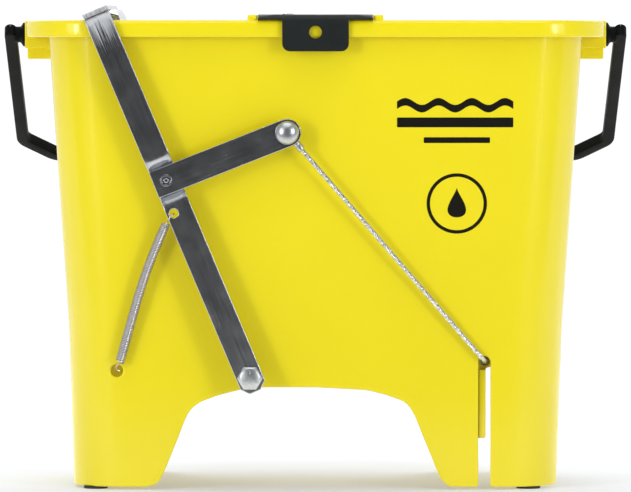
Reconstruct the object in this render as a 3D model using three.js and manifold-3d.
import * as THREE from 'three';
import { mergeVertices } from 'three/addons/utils/BufferGeometryUtils.js';
import Module from 'manifold-3d';

// Mop bucket with a foot-pressed wringer. Millimetres, +Z up, front wall towards -Y.
// Everything is drawn about the middle of the bucket; bucketY then moves it all so that
// the origin is at the middle of the whole assembly's footprint.

// Driving dimensions: the moulded tub
const bucketY = -14.8;
const wall = 4;
const rimTop = 404.6;
const rimDrop = 14.6;
const rimHalfLength = 250;
const rimHalfWidth = 145;
const cornerRadius = 46;
const footHeight = 2.4;
const skirtTop = 136;
const floorTop = 140.5;
const skirtFoot = [209.5, 122];
const skirtHead = [213.5, 125.5];
const wallHead = [231.5, 133.5];
const archTop = 88.4;
const slotLeft = 140.3;
const slotRightFront = 150.7;
const slotRightBack = 158.5;
const slotTop = 115.2;
const toeHalfWidth = 84;
const toeTop = 118;

// Driving dimensions: the wringer
const pivotX = -56.3;
const pivotZ = 97.8;
const leverTilt = THREE.MathUtils.degToRad(22.9);
const leverWidth = 22.8;
const leverOuter = 152;
const barThickness = 4;
const leverTopU = 338;
const crossU = 184;
const armEndV = 111.3;
const armEndU = 181.3;
const armWidth = 24;
const springHole = [-5, 155.5];
const gap = 0.3;

// Driving dimensions: rope, pedal and bail
const ropeRadius = 1.9;
const ropeEnd = [146.2, 110.4];
const pedalBottom = 44;
const bailRadius = 209;
const bailArmX = 267.5;
const bailAxisZ = 392;
const bailDrop = THREE.MathUtils.degToRad(59.3);

const wasm = await Module();
wasm.setup();

function solid(geometry) {
  const bare = geometry.index ? geometry.toNonIndexed() : geometry.clone();
  bare.deleteAttribute('normal');
  bare.deleteAttribute('uv');
  const merged = mergeVertices(bare, 1e-4);
  const mesh = new wasm.Mesh({
    numProp: 3,
    vertProperties: new Float32Array(merged.attributes.position.array),
    triVerts: new Uint32Array(merged.index.array),
  });
  mesh.merge();
  return new wasm.Manifold(mesh);
}

function shell(body) {
  const mesh = body.getMesh();
  const geometry = new THREE.BufferGeometry();
  geometry.setAttribute('position', new THREE.BufferAttribute(mesh.vertProperties, 3));
  geometry.setIndex(new THREE.BufferAttribute(mesh.triVerts, 1));
  return geometry;
}

function mirrored(geometry) {
  const flipped = geometry.index ? geometry.toNonIndexed() : geometry.clone();
  flipped.scale(1, -1, 1);
  const position = flipped.attributes.position;
  const a = new THREE.Vector3();
  const b = new THREE.Vector3();
  for (let i = 0; i < position.count; i += 3) {
    a.fromBufferAttribute(position, i + 1);
    b.fromBufferAttribute(position, i + 2);
    position.setXYZ(i + 1, b.x, b.y, b.z);
    position.setXYZ(i + 2, a.x, a.y, a.z);
  }
  return flipped;
}

function block(x0, x1, y0, y1, z0, z1) {
  const geometry = new THREE.BoxGeometry(x1 - x0, y1 - y0, z1 - z0);
  geometry.translate((x0 + x1) / 2, (y0 + y1) / 2, (z0 + z1) / 2);
  return geometry;
}

function rodY(x, z, radius, y0, y1, sides = 16) {
  const geometry = new THREE.CylinderGeometry(radius, radius, y1 - y0, sides);
  geometry.translate(x, (y0 + y1) / 2, z);
  return geometry;
}

function rodX(y, z, radius, x0, x1, sides = 16) {
  const geometry = new THREE.CylinderGeometry(radius, radius, x1 - x0, sides);
  geometry.rotateZ(Math.PI / 2);
  geometry.translate((x0 + x1) / 2, y, z);
  return geometry;
}

function roundedShape(halfLength, halfWidth, radius) {
  const x = halfLength - radius;
  const y = halfWidth - radius;
  const shape = new THREE.Shape();
  shape.moveTo(-x, -halfWidth);
  shape.lineTo(x, -halfWidth);
  shape.absarc(x, -y, radius, -Math.PI / 2, 0, false);
  shape.absarc(x, y, radius, 0, Math.PI / 2, false);
  shape.absarc(-x, y, radius, Math.PI / 2, Math.PI, false);
  shape.absarc(-x, -y, radius, Math.PI, 1.5 * Math.PI, false);
  return shape;
}

// A drafted block: each side leans out evenly from its size at the foot to its size at the head.
function draftedBlock(foot, head, radius, z0, z1) {
  const shape = roundedShape(foot[0], foot[1], radius);
  const options = { depth: z1 - z0, bevelEnabled: false, curveSegments: 4 };
  const geometry = new THREE.ExtrudeGeometry(shape, options);
  const position = geometry.attributes.position;
  for (let i = 0; i < position.count; i += 1) {
    const lift = position.getZ(i) / (z1 - z0);
    const x = position.getX(i);
    const y = position.getY(i);
    position.setX(i, x + Math.sign(x) * lift * (head[0] - foot[0]));
    position.setY(i, y + Math.sign(y) * lift * (head[1] - foot[1]));
  }
  geometry.translate(0, 0, z0);
  return geometry;
}

// A flat outline drawn in X and Z, carried from y0 to y1.
function plateXZ(shape, y0, y1, segments = 6) {
  const options = { depth: y1 - y0, bevelEnabled: false, curveSegments: segments };
  const geometry = new THREE.ExtrudeGeometry(shape, options);
  geometry.rotateX(Math.PI / 2);
  geometry.translate(0, y1, 0);
  return geometry;
}

function polygon(points) {
  return new THREE.Shape(points.map((p) => new THREE.Vector2(p[0], p[1])));
}

// From the lever's own directions (v across, u up along it) to the bucket's X and Z.
function toLever(geometry) {
  geometry.rotateY(-leverTilt);
  geometry.translate(pivotX, 0, pivotZ);
  return geometry;
}

function leverPoint(v, u) {
  const x = pivotX + v * Math.cos(leverTilt) - u * Math.sin(leverTilt);
  const z = pivotZ + v * Math.sin(leverTilt) + u * Math.cos(leverTilt);
  return [x, z];
}

// The tub: drafted basin, skirt with arches, hollow rim, all one moulding
function archCutter(y0, y1) {
  const outline = polygon([
    [-146.5, -1], [-138, 1.2], [-133, 6.8], [-121.5, 36], [-110, 66], [-105.5, 72], [-98.9, 76],
    [-82, 82], [-64.5, 86.4], [-50, archTop], [45, archTop - 2.2], [59.9, 82], [70, 79.2],
    [78, 75.7], [82, 71.2], [84.7, 65.8], [94.6, 40.9], [102.9, 21.2], [107.5, 9.9],
    [111, 4.6], [117.7, 1.2], [122, -1],
  ]);
  return plateXZ(outline, y0, y1);
}

function rimRing() {
  const outside = [rimHalfLength, rimHalfWidth];
  const inside = [rimHalfLength - wall, rimHalfWidth - wall];
  const outer = draftedBlock(outside, outside, cornerRadius + 16, rimTop - rimDrop, rimTop);
  const pocket = draftedBlock(inside, inside, cornerRadius + 12, rimTop - rimDrop - 1, rimTop - wall);
  return solid(outer).subtract(solid(pocket));
}

function endBoss(side) {
  const reach = rimHalfLength + 4.2;
  const inner = wallHead[0] - 3;
  const upper = block(side > 0 ? inner : -reach, side > 0 ? reach : -inner, -20, 20, 380, rimTop - 0.6);
  const low = rimHalfLength + 2;
  const lower = block(side > 0 ? inner - 3 : -low, side > 0 ? low : -inner + 3, -17, 17, 370.5, 381);
  return solid(upper).add(solid(lower));
}

function basinOutside() {
  const skirt = solid(draftedBlock(skirtFoot, skirtHead, cornerRadius, footHeight, skirtTop));
  const walls = solid(draftedBlock(skirtHead, wallHead, cornerRadius, skirtTop, rimTop - 1));
  return skirt.add(walls);
}

function innerBasin() {
  const drop = (rimTop + 2 - floorTop) / (rimTop - 1 - skirtTop);
  const foot = [skirtHead[0] - wall, skirtHead[1] - wall];
  const head = [
    foot[0] + (wallHead[0] - skirtHead[0]) * drop,
    foot[1] + (wallHead[1] - skirtHead[1]) * drop,
  ];
  return solid(draftedBlock(foot, head, cornerRadius - wall, floorTop, rimTop + 2));
}

function underSpace() {
  const foot = [skirtFoot[0] - wall, skirtFoot[1] - wall];
  const head = [skirtHead[0] - wall, skirtHead[1] - wall];
  return solid(draftedBlock(foot, head, cornerRadius - wall, footHeight - 1, skirtTop));
}

function cornerPads(inside) {
  let pads = solid(block(-207, -158, 84, 121, footHeight, footHeight + 4));
  pads = pads.add(solid(block(-207, -158, -121, -84, footHeight, footHeight + 4)));
  pads = pads.add(solid(block(162, 207, 90, 121, footHeight, footHeight + 4)));
  pads = pads.add(solid(block(162, 207, -121, -90, footHeight, footHeight + 4)));
  return pads.intersect(inside);
}

function guideRibs() {
  const front = solid(block(127.3, 131.3, -120, -100, footHeight + 8, skirtTop + 1));
  const back = solid(block(127.3, 131.3, 100, 120, footHeight + 8, skirtTop + 1));
  return front.add(back);
}

function rimBumps() {
  let bumps = null;
  for (const x of [-54.4, 54.4]) {
    for (const y of [-138.5, 138.5]) {
      const bump = solid(block(x - 3.8, x + 3.8, y - 5.5, y + 5.5, rimTop - 2, rimTop + 4.6));
      bumps = bumps ? bumps.add(bump) : bump;
    }
  }
  return bumps;
}

function tubGeometry() {
  const outside = basinOutside();
  let tub = outside.add(rimRing()).add(endBoss(1)).add(endBoss(-1)).add(rimBumps());
  tub = tub.subtract(innerBasin()).subtract(underSpace());
  tub = tub.add(cornerPads(outside)).add(guideRibs().intersect(outside));
  tub = tub.subtract(solid(archCutter(-160, 160)));
  tub = tub.subtract(solid(block(slotLeft, slotRightFront, -130, -116, -1, slotTop)));
  tub = tub.subtract(solid(block(slotLeft, slotRightBack, 116, 130, -1, slotTop)));
  tub = tub.subtract(solid(block(200, 220, -toeHalfWidth, toeHalfWidth, -1, toeTop)));
  for (const side of [-1, 1]) {
    tub = tub.subtract(solid(rodY(pivotX, pivotZ, 4.4, side < 0 ? -130 : 115, side < 0 ? -115 : 130)));
    tub = tub.subtract(solid(rodY(-171.4, 102.9, 5.5, side < 0 ? -130 : 115, side < 0 ? -115 : 130)));
    const bore = rodX(0, bailAxisZ, 6.3, side < 0 ? -260 : 238, side < 0 ? -238 : 260);
    tub = tub.subtract(solid(bore));
    for (const x of [-190, 184]) {
      tub = tub.subtract(solid(footHole(x, side * 101)));
    }
  }
  return shell(tub);
}

function footHole(x, y) {
  const geometry = new THREE.CylinderGeometry(4.3, 4.3, 12, 16);
  geometry.rotateX(Math.PI / 2);
  geometry.translate(x, y, footHeight + 3);
  return geometry;
}

// A rubber foot: a wide pad under the tub with a stem and a retaining bead through the corner pad
function footGeometry(x, y) {
  const profile = [
    [0, 0], [9.5, 0], [10.5, 0.8], [10.5, footHeight - gap], [3.9, footHeight - gap],
    [3.9, footHeight + 4 + gap], [5.4, footHeight + 4.6], [3.2, footHeight + 7.5], [0, footHeight + 7.5],
  ];
  const geometry = new THREE.LatheGeometry(profile.map((p) => new THREE.Vector2(p[0], p[1])), 16);
  geometry.rotateX(Math.PI / 2);
  geometry.translate(x, y, 0);
  return geometry;
}

// The lever: a flat bar with a set-back where the arm crosses it and its top turned inwards
function leverSideOutline() {
  const outer = leverOuter;
  const inner = leverOuter - barThickness;
  const back = barThickness + gap;
  const top = leverTopU;
  const points = [[outer, -14], [outer, crossU - 19.4], [outer - back, crossU - 13.4]];
  points.push([outer - back, crossU + 13.4], [outer, crossU + 19.4], [outer, top - 6]);
  for (let i = 1; i < 6; i += 1) {
    const turn = (i / 6) * (Math.PI / 2);
    points.push([outer - 6 + 6 * Math.cos(turn), top - 6 + 6 * Math.sin(turn)]);
  }
  points.push([outer - 6, top], [outer - 6, top - barThickness], [inner, top - 7]);
  points.push([inner, crossU + 21], [inner - back, crossU + 15], [inner - back, crossU - 15]);
  points.push([inner, crossU - 21], [inner, -14]);
  return polygon(points);
}

function leverGeometry() {
  const options = { depth: leverWidth, bevelEnabled: false };
  const bar = new THREE.ExtrudeGeometry(leverSideOutline(), options);
  bar.rotateX(Math.PI / 2);
  bar.rotateZ(-Math.PI / 2);
  bar.translate(-leverWidth / 2, 0, 0);
  bar.computeBoundingBox();
  const box = bar.boundingBox;
  bar.translate(-(box.min.x + box.max.x) / 2, 0, 0);
  const half = leverWidth / 2;
  const face = polygon([
    [-half, 400], [-half, -6], [-5.5, -12.8], [4.5, -12.8], [half, -6.5], [half, 400],
  ]);
  let lever = solid(bar).intersect(solid(plateXZ(face, -200, 200)));
  lever = lever.subtract(solid(rodY(0, 0, 4.5, -200, 200)));
  lever = lever.subtract(solid(rodY(springHole[0], springHole[1], 4, -200, 200, 16)));
  lever = lever.subtract(solid(rodY(0, crossU, 3.3, -200, 200, 16)));
  return toLever(shell(lever));
}

function armGeometry() {
  const half = armWidth / 2;
  const lean = Math.atan2(armEndU - crossU, armEndV);
  const long = Math.hypot(armEndV, armEndU - crossU);
  const shape = new THREE.Shape();
  shape.moveTo(-leverWidth / 2, -half);
  shape.lineTo(long, -half);
  shape.absarc(long, 0, half, -Math.PI / 2, Math.PI / 2, false);
  shape.lineTo(-leverWidth / 2, half);
  let arm = solid(plateXZ(shape, -leverOuter, -(leverOuter - barThickness), 12));
  arm = arm.subtract(solid(rodY(0, 0, 3.3, -200, 200, 16)));
  arm = arm.subtract(solid(rodY(long, 0, 4.3, -200, 200, 16)));
  const geometry = shell(arm);
  geometry.rotateY(-lean);
  geometry.translate(0, 0, crossU);
  return toLever(geometry);
}

function lathed(profile, sides = 16) {
  return new THREE.LatheGeometry(profile.map((p) => new THREE.Vector2(p[0], p[1])), sides);
}

function crankRivetGeometry() {
  const face = -leverOuter - gap;
  const tail = -(leverOuter - 2 * barThickness - gap) + gap;
  const profile = [
    [0, face - 1.3], [3.6, face - 1.2], [5.3, face], [3, face],
    [3, tail], [4.8, tail], [4.2, tail + 1.6], [0, tail + 2],
  ];
  const rivet = lathed(profile);
  rivet.translate(0, 0, crossU);
  return toLever(rivet);
}

function ropeBoltGeometry() {
  const face = -leverOuter - gap;
  const profile = [
    [0, face - 6.2], [4.2, face - 5.6], [7.6, face - 3.9], [9.6, face - 1.5], [10.2, face],
    [4, face], [4, -137.4], [0, -137.4],
  ];
  const bolt = lathed(profile);
  const at = leverPoint(armEndV, armEndU);
  bolt.translate(at[0], 0, at[1]);
  return bolt;
}

function nutAt(x, z, across, bore, y0, y1) {
  const hexagon = new THREE.CylinderGeometry(across / Math.sqrt(3), across / Math.sqrt(3), y1 - y0, 6);
  hexagon.translate(x, (y0 + y1) / 2, z);
  return shell(solid(hexagon).subtract(solid(rodY(x, z, bore, y0 - 1, y1 + 1))));
}

function pivotBoltGeometry() {
  const face = -leverOuter - gap;
  const hexagon = new THREE.CylinderGeometry(19 / Math.sqrt(3), 19 / Math.sqrt(3), 6, 6);
  hexagon.translate(pivotX, face - 3, pivotZ);
  const crown = lathed([
    [0, face - 6.2], [7.4, face - 6.2], [9.75, face - 4.6], [9.75, face], [4, face], [4, -110], [0, -110],
  ], 24);
  crown.translate(pivotX, 0, pivotZ);
  const shank = lathed([[0, face - 1], [4, face - 1], [4, -110], [0, -110]], 24);
  shank.translate(pivotX, 0, pivotZ);
  return shell(solid(hexagon).intersect(solid(crown)).add(solid(shank)));
}

function bushGeometry() {
  const tube = lathed([
    [4.4, -(leverOuter - barThickness) + gap], [9, -(leverOuter - barThickness) + gap],
    [9, -124.8], [4.4, -124.8], [4.4, -(leverOuter - barThickness) + gap],
  ]);
  tube.translate(pivotX, 0, pivotZ);
  return tube;
}

function crossbarGeometry() {
  const half = leverWidth / 2;
  let bar = solid(block(-half, half, -150, 150, leverTopU + gap, leverTopU + gap + barThickness));
  for (const y of [-70, 70]) {
    const hole = new THREE.CylinderGeometry(3.3, 3.3, 30, 16);
    hole.rotateX(Math.PI / 2);
    hole.translate(2, y, leverTopU);
    bar = bar.subtract(solid(hole));
  }
  return toLever(shell(bar));
}

// A pressed sheet with a turned top edge and rows of drain holes
function pressSheet(outline, halfWidth, holes) {
  let sheet = solid(plateXZ(outline, -halfWidth, halfWidth));
  for (const hole of holes) {
    sheet = sheet.subtract(solid(hole));
  }
  return shell(sheet);
}

function drainHoles(faceX, bottom, top, lean) {
  const holes = [];
  for (let row = 0; row < 5; row += 1) {
    for (let column = 0; column < 5; column += 1) {
      const u = bottom + ((top - bottom) * row) / 4;
      const y = -80 + 40 * column;
      holes.push(rodX(y, u, 6.5, faceX - 12 - lean * row, faceX + 12 - lean * row, 10));
    }
  }
  return holes;
}

function movingPlateGeometry() {
  const flange = leverTopU - gap;
  const outline = polygon([
    [-10, flange], [-10, flange - 2.5], [14, flange - 2.5], [14, 158], [8, 151],
    [9.8, 149.3], [16.5, 157], [16.5, flange],
  ]);
  const holes = drainHoles(15, 176, 312, 0);
  for (const y of [-70, 70]) {
    const hole = new THREE.CylinderGeometry(3.3, 3.3, 30, 16);
    hole.rotateX(Math.PI / 2);
    hole.translate(2, y, leverTopU);
    holes.push(hole);
  }
  return toLever(pressSheet(outline, 106, holes));
}

function plateRivetGeometry(y) {
  const flange = leverTopU - gap - 2.5 - gap;
  const profile = [
    [0, flange - 2.6], [3.4, flange - 2.2], [5.6, flange], [3, flange],
    [3, leverTopU + barThickness], [0, leverTopU + barThickness],
  ];
  const rivet = lathed(profile);
  rivet.rotateX(Math.PI / 2);
  rivet.translate(2, y, 0);
  return toLever(rivet);
}

function fixedPlateGeometry() {
  const top = rimTop;
  const outline = polygon([
    [-46, top], [-46, top - 6], [-32.5, 246], [-26.5, 239.5], [-24.8, 241.5], [-30, 247.5],
    [-43.2, top - 2.8], [-12, top - 2.8], [-12, top],
  ]);
  const holes = drainHoles(-37, 262, 382, 2.6);
  for (const y of [-70, 70]) {
    const hole = new THREE.CylinderGeometry(3.3, 3.3, 30, 16);
    hole.rotateX(Math.PI / 2);
    hole.translate(-24, y, top);
    holes.push(hole);
  }
  return pressSheet(outline, 106, holes);
}

function bridgeRivetGeometry(y) {
  const under = rimTop - 2.8 - gap;
  const profile = [
    [0, under - 2.6], [3.4, under - 2.2], [5.6, under], [3, under], [3, rimTop + 4.6], [0, rimTop + 4.6],
  ];
  const rivet = lathed(profile);
  rivet.rotateX(Math.PI / 2);
  rivet.translate(-24, y, 0);
  return rivet;
}

// The bridge: a painted strap across the rim with a tab turned down at each end
function bridgeGeometry() {
  const under = rimTop + gap;
  const over = rimTop + 4.9;
  const tabOuter = rimHalfWidth + gap + 4.6;
  let bridge = solid(block(-49.5, 49.5, -tabOuter, tabOuter, under, over));
  const tab = new THREE.Shape();
  tab.moveTo(-28.6, over - 1);
  tab.lineTo(-28.6, 383.8);
  tab.absarc(-22.6, 383.8, 6, Math.PI, 1.5 * Math.PI, false);
  tab.absarc(22.6, 383.8, 6, 1.5 * Math.PI, 2 * Math.PI, false);
  tab.lineTo(28.6, over - 1);
  const hole = new THREE.Path();
  hole.absarc(0, 394.3, 5.4, 0, 2 * Math.PI, true);
  tab.holes.push(hole);
  bridge = bridge.add(solid(plateXZ(tab, -tabOuter, -(rimHalfWidth + gap))));
  bridge = bridge.add(solid(plateXZ(tab, rimHalfWidth + gap, tabOuter)));
  for (const y of [-70, 70]) {
    const bore = new THREE.CylinderGeometry(3.3, 3.3, 30, 16);
    bore.rotateX(Math.PI / 2);
    bore.translate(-24, y, rimTop);
    bridge = bridge.subtract(solid(bore));
  }
  return shell(bridge);
}

// The wire rope: straight from the arm's bolt to the slot, then turned inwards through it
function ropeGeometry() {
  const start = leverPoint(armEndV, armEndU);
  const ahead = new THREE.Vector2(ropeEnd[0] - start[0], ropeEnd[1] - start[1]).normalize();
  const at = (reach, y) => new THREE.Vector3(start[0] + ahead.x * reach, y, start[1] + ahead.y * reach);
  const long = Math.hypot(ropeEnd[0] - start[0], ropeEnd[1] - start[1]);
  const path = new THREE.CurvePath();
  path.add(new THREE.LineCurve3(at(20, -144.2), at(long - 10, -130.2)));
  path.add(new THREE.QuadraticBezierCurve3(
    at(long - 10, -130.2), at(long, -129.6), new THREE.Vector3(ropeEnd[0], -118, ropeEnd[1]),
  ));
  path.add(new THREE.LineCurve3(
    new THREE.Vector3(ropeEnd[0], -118, ropeEnd[1]), new THREE.Vector3(ropeEnd[0], -106.2, ropeEnd[1]),
  ));
  const round = new THREE.Shape();
  round.absarc(0, 0, ropeRadius, 0, 2 * Math.PI, false);
  return new THREE.ExtrudeGeometry(round, { steps: 48, extrudePath: path, curveSegments: 3 });
}

function eyeletGeometry() {
  const start = leverPoint(armEndV, armEndU);
  const ahead = Math.atan2(ropeEnd[1] - start[1], ropeEnd[0] - start[0]);
  const ring = solid(rodY(0, 0, 8.5, -147.6, -144.6, 24)).add(solid(block(5, 12, -147.4, -144.2, -3, 3)));
  const barrel = solid(rodX(-144.2, 0, 3.4, 9.5, 19.6, 16));
  const eye = ring.add(barrel).subtract(solid(rodY(0, 0, 4.4, -160, -130, 24)));
  const geometry = shell(eye);
  geometry.rotateY(-ahead);
  geometry.translate(start[0], 0, start[1]);
  return geometry;
}

function ropeStopGeometry() {
  return rodY(ropeEnd[0], ropeEnd[1], 4.6, -105.9, -97.9, 16);
}

// The pedal: a moulded carriage that slides behind the slots and carries the tread
function pedalLeg(side) {
  const low = side < 0 ? -112 : 107;
  let leg = solid(block(132, 146.8, low, low + 5, pedalBottom, 127));
  leg = leg.add(solid(block(132, 152, low, low + 5, 114.5, 127)));
  leg = leg.add(solid(rodY(ropeEnd[0], ropeEnd[1], 6, low, low + 5, 20)));
  return leg.subtract(solid(rodY(ropeEnd[0], ropeEnd[1], 3.9, low - 1, low + 6, 16)));
}

function pedalHanger(low) {
  const outline = polygon([
    [132, 127], [132, 114.5], [158.8, 114.5], [160.5, 112.5], [160.5, pedalBottom],
    [203.5, pedalBottom], [203.5, 66], [190, 127],
  ]);
  return solid(plateXZ(outline, low, low + 4));
}

function pedalGeometry() {
  let pedal = pedalLeg(-1).add(pedalLeg(1));
  pedal = pedal.add(solid(block(132, 140, -112, 112, 114.5, 127)));
  pedal = pedal.add(pedalHanger(-80)).add(pedalHanger(76));
  pedal = pedal.add(solid(block(160.5, 203.5, -80, 80, pedalBottom, pedalBottom + 5)));
  pedal = pedal.add(solid(block(160.5, 164.5, -80, 80, pedalBottom, pedalBottom + 13)));
  return shell(pedal);
}

function treadPadGeometry() {
  const base = pedalBottom + 5 + gap;
  let pad = solid(block(165.2, 202.5, -74, 74, base, base + 2.4));
  for (let x = 168; x < 200; x += 6.6) {
    pad = pad.add(solid(block(x, x + 3.2, -72, 72, base + 2, base + 4)));
  }
  return shell(pad);
}

// The return spring, drawn as its outside envelope with a thin hooked tail at each end
function springGeometry() {
  const top = new THREE.Vector3(-127.2, -142.2, 232);
  const bottom = new THREE.Vector3(-170.2, -131, 104.4);
  const long = top.distanceTo(bottom);
  const profile = [
    [0, 0], [1, 0], [1, 5], [4.1, 8], [4.1, long - 8], [1, long - 5], [1, long], [0, long],
  ];
  const spring = lathed(profile, 16);
  const up = new THREE.Vector3(0, 1, 0);
  const aim = top.clone().sub(bottom).normalize();
  spring.applyQuaternion(new THREE.Quaternion().setFromUnitVectors(up, aim));
  spring.translate(bottom.x, bottom.y, bottom.z);
  return spring;
}

// The bail: two channel arms on snap-in pivots, joined by a cross part behind the bucket
function bailOutline(half) {
  const corner = 34;
  const outer = bailArmX + half;
  const inner = bailArmX - half;
  const shape = new THREE.Shape();
  shape.moveTo(-outer, -4);
  shape.absarc(-bailArmX, -4, half, Math.PI, 2 * Math.PI, false);
  shape.lineTo(-inner, bailRadius - corner);
  shape.absarc(-bailArmX + corner, bailRadius - corner, corner - half, Math.PI, Math.PI / 2, true);
  shape.lineTo(bailArmX - corner, bailRadius - half);
  shape.absarc(bailArmX - corner, bailRadius - corner, corner - half, Math.PI / 2, 0, true);
  shape.lineTo(inner, -4);
  shape.absarc(bailArmX, -4, half, Math.PI, 2 * Math.PI, false);
  shape.lineTo(outer, bailRadius - corner);
  shape.absarc(bailArmX - corner, bailRadius - corner, corner + half, 0, Math.PI / 2, false);
  shape.lineTo(-bailArmX + corner, bailRadius + half);
  shape.absarc(-bailArmX + corner, bailRadius - corner, corner + half, Math.PI / 2, Math.PI, false);
  return shape;
}

function bailPivot(side) {
  const profile = [
    [0, 240], [5, 240], [6, 241.2], [6, 254.6], [10.5, 254.6], [10.5, 256.4], [7, 258.6],
    [7, 264], [0, 264],
  ];
  const pin = lathed(profile, 24);
  pin.rotateZ(-Math.PI / 2);
  if (side < 0) pin.rotateZ(Math.PI);
  return solid(pin);
}

function bailGeometry() {
  const flat = new THREE.ExtrudeGeometry(bailOutline(5.2), { depth: 10, bevelEnabled: false, curveSegments: 4 });
  flat.translate(0, 0, -5);
  const groove = new THREE.ExtrudeGeometry(bailOutline(2.2), { depth: 10, bevelEnabled: false, curveSegments: 4 });
  groove.translate(0, 0, 2);
  let bail = solid(flat).subtract(solid(groove));
  bail = bail.add(bailPivot(1)).add(bailPivot(-1));
  const geometry = shell(bail);
  const lie = Math.PI / 2 - bailDrop;
  geometry.rotateX(-lie);
  geometry.translate(0, 0, bailAxisZ);
  return geometry;
}

function gripGeometry() {
  const sleeve = rodX(0, 0, 12, -62, 62, 24);
  const core = block(-63, 63, -5.3, 5.3, -5.5, 5.5);
  const grip = solid(sleeve).subtract(solid(core));
  const geometry = shell(grip);
  geometry.translate(0, bailRadius, 0);
  geometry.rotateX(-(Math.PI / 2 - bailDrop));
  geometry.translate(0, 0, bailAxisZ);
  return geometry;
}

const finishes = {
  tub: { color: 0xe9dc1e, roughness: 0.38, metalness: 0 },
  steel: { color: 0x8b9096, roughness: 0.34, metalness: 1 },
  zinc: { color: 0xb9bcc2, roughness: 0.3, metalness: 1 },
  black: { color: 0x17181a, roughness: 0.42, metalness: 0 },
  bail: { color: 0x141517, roughness: 0.5, metalness: 0 },
  rubber: { color: 0x1b1b1b, roughness: 0.85, metalness: 0 },
};

const wringer = new THREE.Group();
wringer.name = 'mop_bucket_with_wringer';

function addPart(name, geometry, finish) {
  const plain = geometry.index ? geometry.toNonIndexed() : geometry.clone();
  plain.deleteAttribute('normal');
  plain.deleteAttribute('uv');
  const closed = mergeVertices(plain, 1e-4);
  closed.translate(0, bucketY, 0);
  closed.computeVertexNormals();
  const mesh = new THREE.Mesh(closed, new THREE.MeshStandardMaterial(finishes[finish]));
  mesh.name = name;
  wringer.add(mesh);
}

function addPair(name, geometry, finish) {
  addPart(`${name}_front`, geometry, finish);
  addPart(`${name}_back`, mirrored(geometry), finish);
}

function nutForPivot() {
  return nutAt(pivotX, pivotZ, 13, 4.3, -119.8, -113.3);
}

function nutForRope() {
  const at = leverPoint(armEndV, armEndU);
  return nutAt(at[0], at[1], 13, 4.3, -144.2, -138);
}

addPart('tub', tubGeometry(), 'tub');
addPart('foot_front_left', footGeometry(-190, -101), 'rubber');
addPart('foot_front_right', footGeometry(184, -101), 'rubber');
addPart('foot_back_left', footGeometry(-190, 101), 'rubber');
addPart('foot_back_right', footGeometry(184, 101), 'rubber');
addPart('bridge', bridgeGeometry(), 'black');
addPart('fixed_press_plate', fixedPlateGeometry(), 'zinc');
addPart('bridge_rivet_front', bridgeRivetGeometry(-70), 'zinc');
addPart('bridge_rivet_back', bridgeRivetGeometry(70), 'zinc');
addPair('pivot_bolt', pivotBoltGeometry(), 'zinc');
addPair('pivot_nut', nutForPivot(), 'zinc');
addPair('pivot_bush', bushGeometry(), 'zinc');
addPair('lever', leverGeometry(), 'steel');
addPair('crank_arm', armGeometry(), 'steel');
addPair('crank_rivet', crankRivetGeometry(), 'zinc');
addPair('rope_bolt', ropeBoltGeometry(), 'zinc');
addPair('rope_nut', nutForRope(), 'zinc');
addPart('crossbar', crossbarGeometry(), 'steel');
addPart('moving_press_plate', movingPlateGeometry(), 'zinc');
addPart('plate_rivet_front', plateRivetGeometry(-70), 'zinc');
addPart('plate_rivet_back', plateRivetGeometry(70), 'zinc');
addPair('wire_rope', ropeGeometry(), 'steel');
addPair('rope_eyelet', eyeletGeometry(), 'zinc');
addPair('rope_stop', ropeStopGeometry(), 'zinc');
addPair('return_spring', springGeometry(), 'steel');
addPart('pedal', pedalGeometry(), 'tub');
addPart('tread_pad', treadPadGeometry(), 'rubber');
addPart('bail', bailGeometry(), 'bail');
addPart('bail_grip', gripGeometry(), 'bail');

export default wringer;
